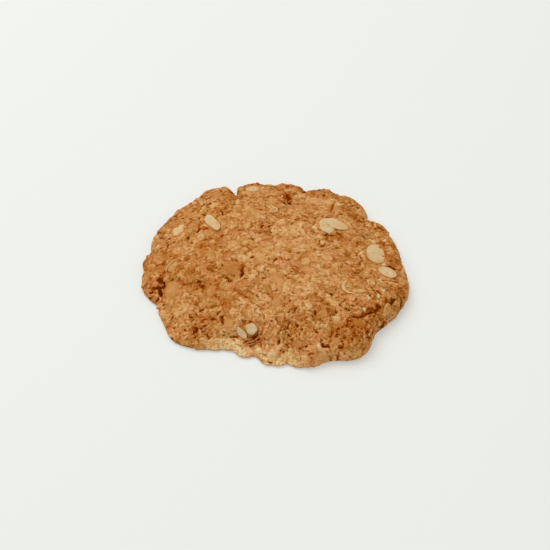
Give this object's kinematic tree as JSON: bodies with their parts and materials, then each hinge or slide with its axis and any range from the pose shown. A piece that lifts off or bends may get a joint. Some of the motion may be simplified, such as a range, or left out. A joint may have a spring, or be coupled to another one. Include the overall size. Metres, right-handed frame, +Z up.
{
  "type": "anzac biscuit",
  "caption": "Flat round oat and coconut biscuit with an uneven lobed outline, a low crowned top and a flat baked underside.",
  "frame": {"origin": "centre of the bounding box at the underside that rests on the table", "axes": "+Z up out of the top, +X along the widest way across, -Y towards the crumbled front edge"},
  "size_m": [0.094, 0.0864, 0.01],
  "materials": {
    "baked_crust": "matte baked oat dough, golden tan with browner edges and paler whole oats"
  },
  "bodies": {
    "root": {"biscuit": "baked_crust"}
  },
  "joints": []
}
